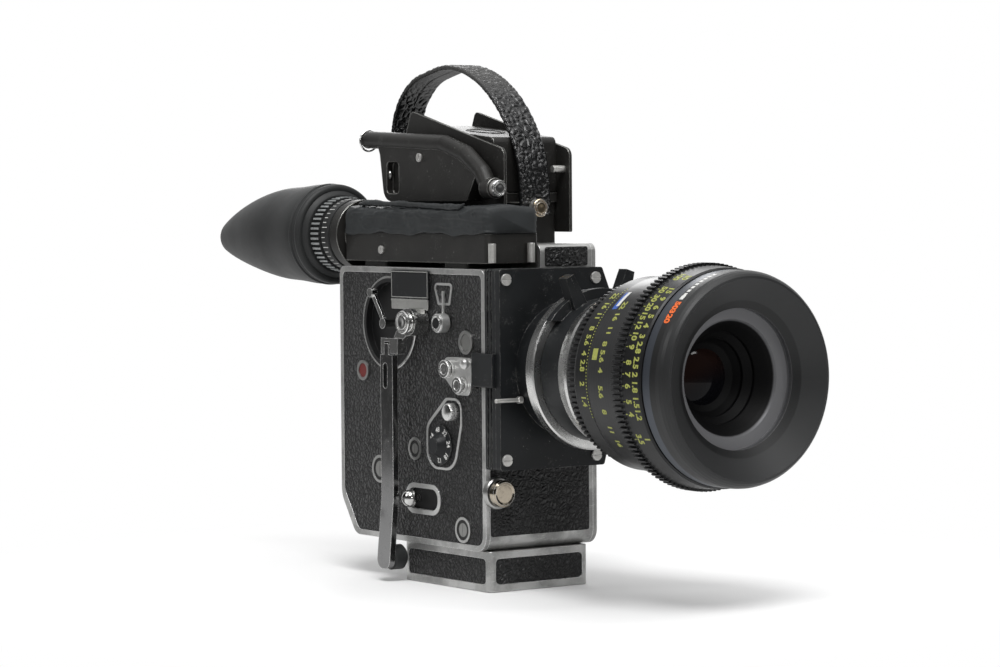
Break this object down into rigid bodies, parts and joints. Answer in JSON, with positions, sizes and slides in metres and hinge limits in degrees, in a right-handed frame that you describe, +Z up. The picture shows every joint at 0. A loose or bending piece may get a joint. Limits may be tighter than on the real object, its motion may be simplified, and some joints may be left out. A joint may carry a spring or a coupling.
{
  "type": "film camera",
  "caption": "Spring-wound cine camera with a large geared lens, folding winding crank, knobs, side controls, finder with eyecup and a hand strap.",
  "frame": {"origin": "centre of the tripod thread in the plane of the base's underside", "axes": "+Z up, -Y along the lens axis towards the front, -X out of the crank side, +X out of the film door"},
  "size_m": [0.1369, 0.5055, 0.3297],
  "materials": {
    "bare_metal": "satin, worn",
    "satin_metal": "satin",
    "steel": "brushed",
    "chrome": "polished, lightly scratched",
    "leatherette": "embossed, semi-matt",
    "strap_leather": "pebbled, semi-matt",
    "black_paint": "black painted, satin",
    "plate_black": "satin black with a bare border",
    "lens_black": "black anodised",
    "black_plastic": "matt",
    "spool_black": "matt",
    "rubber": "matt",
    "cover_rubber": "matt, creased",
    "glass": "coated",
    "window_red": "tinted"
  },
  "bodies": {
    "body": {"base_block": "bare_metal", "tripod_bush": "steel", "body_casting": "bare_metal", "side_cover": "bare_metal", "leather_panels": "leatherette", "dish_cup": "black_paint", "name_plate": "plate_black", "control_bezels": "satin_metal", "bezel_rings": "satin_metal", "window_glasses": "window_red", "counter_plate": "satin_metal", "turret_block": "black_paint", "mount_plate": "black_paint", "plate_fasteners": "chrome", "mount_ring": "satin_metal", "lens_flange": "satin_metal", "lens_core": "lens_black", "index_sleeve": "lens_black", "front_ring": "lens_black", "hood_rings": "lens_black", "lens_glass": "glass", "iris_blades": "steel", "gate_plate": "chrome", "finder_box": "black_paint", "finder_cover": "cover_rubber", "eyepiece_tube": "black_paint", "eyecup": "rubber", "top_fittings": "chrome", "saddle_base": "black_paint", "guard_plates": "black_paint", "saddle_cover": "black_plastic", "handle_bracket": "black_paint", "strap": "strap_leather"},
    "crank_hub": {"crank_hub": "chrome"},
    "crank_arm": {"crank_arm": "chrome"},
    "crank_grip": {"crank_grip": "black_plastic"},
    "rewind_lever": {"rewind_lever": "chrome"},
    "sector_knob": {"sector_knob": "satin_metal"},
    "counter_knob_upper": {"counter_knob_upper": "chrome"},
    "counter_knob_lower": {"counter_knob_lower": "chrome"},
    "speed_dial": {"speed_dial": "black_paint"},
    "dial_lock_knob": {"dial_lock_knob": "chrome"},
    "clutch_knob": {"clutch_knob": "chrome"},
    "release_button": {"release_button": "satin_metal"},
    "lock_ring": {"lock_ring": "black_paint"},
    "iris_ring": {"iris_ring": "lens_black"},
    "focus_ring": {"focus_ring": "lens_black"},
    "dioptre_ring": {"dioptre_ring": "black_plastic"},
    "film_door": {"film_door": "bare_metal", "door_leather": "leatherette"},
    "door_latch_upper": {"door_latch_upper": "chrome"},
    "door_latch_lower": {"door_latch_lower": "chrome"},
    "spring_barrel": {"spring_barrel": "steel"},
    "upper_sprocket": {"upper_sprocket": "steel"},
    "lower_sprocket": {"lower_sprocket": "steel"},
    "supply_spool": {"supply_spool": "spool_black"},
    "takeup_spool": {"takeup_spool": "spool_black"},
    "shutter_disc": {"shutter_disc": "black_paint"},
    "pressure_plate": {"pressure_plate": "chrome"},
    "claw": {"claw": "steel"}
  },
  "joints": [
    {"name": "crank_turn", "type": "hinge", "parent": "body", "child": "crank_hub", "pos_m": [-0.0408, 0.0224, 0.166], "axis": [-1, 0, 0], "range_deg": [-75, 225]},
    {"name": "crank_fold", "type": "hinge", "parent": "crank_hub", "child": "crank_arm", "pos_m": [-0.05375, 0.0413, 0.1495], "axis": [0, 1, 0], "range_deg": [0, 90]},
    {"name": "grip_spin", "type": "hinge", "parent": "crank_arm", "child": "crank_grip", "pos_m": [-0.047, 0.0463, 0.015], "axis": [1, 0, 0], "continuous": true},
    {"name": "rewind_lever_turn", "type": "hinge", "parent": "body", "child": "rewind_lever", "pos_m": [-0.0415, 0.0595, 0.164], "axis": [-1, 0, 0], "range_deg": [-60, 90]},
    {"name": "sector_turn", "type": "hinge", "parent": "body", "child": "sector_knob", "pos_m": [-0.0415, -0.004, 0.166], "axis": [-1, 0, 0], "range_deg": [-18, 18]},
    {"name": "counter_upper_turn", "type": "hinge", "parent": "body", "child": "counter_knob_upper", "pos_m": [-0.0415, -0.01, 0.1375], "axis": [-1, 0, 0], "continuous": true},
    {"name": "counter_lower_turn", "type": "hinge", "parent": "body", "child": "counter_knob_lower", "pos_m": [-0.0415, -0.024, 0.128], "axis": [-1, 0, 0], "continuous": true},
    {"name": "speed_dial_turn", "type": "hinge", "parent": "body", "child": "speed_dial", "pos_m": [-0.0415, 0.0022, 0.089], "axis": [-1, 0, 0], "range_deg": [-150, 150]},
    {"name": "dial_lock_turn", "type": "hinge", "parent": "body", "child": "dial_lock_knob", "pos_m": [-0.0415, -0.0125, 0.1106], "axis": [-1, 0, 0], "range_deg": [0, 90]},
    {"name": "clutch_slide", "type": "slide", "parent": "body", "child": "clutch_knob", "axis": [0, -1, 0], "range_m": [0, 0.014]},
    {"name": "release_press", "type": "slide", "parent": "body", "child": "release_button", "axis": [0, 1, 0], "range_m": [0, 0.004], "stiffness_N_per_m": 500},
    {"name": "lock_ring_turn", "type": "hinge", "parent": "body", "child": "lock_ring", "pos_m": [0.0135, -0.099, 0.138], "axis": [0, -1, 0], "range_deg": [-10, 40]},
    {"name": "iris_ring_turn", "type": "hinge", "parent": "body", "child": "iris_ring", "pos_m": [0.0135, -0.133, 0.138], "axis": [0, -1, 0], "range_deg": [-40, 40]},
    {"name": "focus_ring_turn", "type": "hinge", "parent": "body", "child": "focus_ring", "pos_m": [0.0135, -0.179, 0.138], "axis": [0, -1, 0], "range_deg": [-150, 150]},
    {"name": "dioptre_ring_turn", "type": "hinge", "parent": "body", "child": "dioptre_ring", "pos_m": [-0.02, 0.138, 0.22], "axis": [0, 1, 0], "range_deg": [-60, 60]},
    {"name": "door_slide", "type": "slide", "parent": "body", "child": "film_door", "axis": [1, 0, 0], "range_m": [0, 0.06]},
    {"name": "latch_upper_turn", "type": "hinge", "parent": "film_door", "child": "door_latch_upper", "pos_m": [0.0452, 0.036, 0.189], "axis": [1, 0, 0], "range_deg": [0, 90]},
    {"name": "latch_lower_turn", "type": "hinge", "parent": "film_door", "child": "door_latch_lower", "pos_m": [0.0452, 0.036, 0.051], "axis": [1, 0, 0], "range_deg": [0, 90]},
    {"name": "barrel_spin", "type": "hinge", "parent": "body", "child": "spring_barrel", "pos_m": [-0.015, 0.022, 0.136], "axis": [1, 0, 0], "continuous": true},
    {"name": "upper_sprocket_spin", "type": "hinge", "parent": "body", "child": "upper_sprocket", "pos_m": [0, -0.00558, 0.15914], "axis": [1, 0, 0], "continuous": true},
    {"name": "lower_sprocket_spin", "type": "hinge", "parent": "body", "child": "lower_sprocket", "pos_m": [0, -0.00558, 0.11286], "axis": [1, 0, 0], "continuous": true},
    {"name": "supply_spin", "type": "hinge", "parent": "body", "child": "supply_spool", "pos_m": [0.01, 0.0675, 0.1661], "axis": [1, 0, 0], "continuous": true},
    {"name": "takeup_spin", "type": "hinge", "parent": "body", "child": "takeup_spool", "pos_m": [0.01, 0.0675, 0.0739], "axis": [1, 0, 0], "continuous": true},
    {"name": "shutter_spin", "type": "hinge", "parent": "body", "child": "shutter_disc", "pos_m": [-0.008, -0.05, 0.128], "axis": [0, -1, 0], "continuous": true},
    {"name": "pressure_slide", "type": "slide", "parent": "body", "child": "pressure_plate", "axis": [0, 1, 0], "range_m": [0, 0.003], "stiffness_N_per_m": 200},
    {"name": "claw_slide", "type": "slide", "parent": "body", "child": "claw", "axis": [0, 0, 1], "range_m": [-0.0038, 0.0038]}
  ],
  "couplings": [
    {"joint": "upper_sprocket_spin", "follows": "barrel_spin", "ratio": -3.5},
    {"joint": "lower_sprocket_spin", "follows": "barrel_spin", "ratio": -3.5}
  ]
}
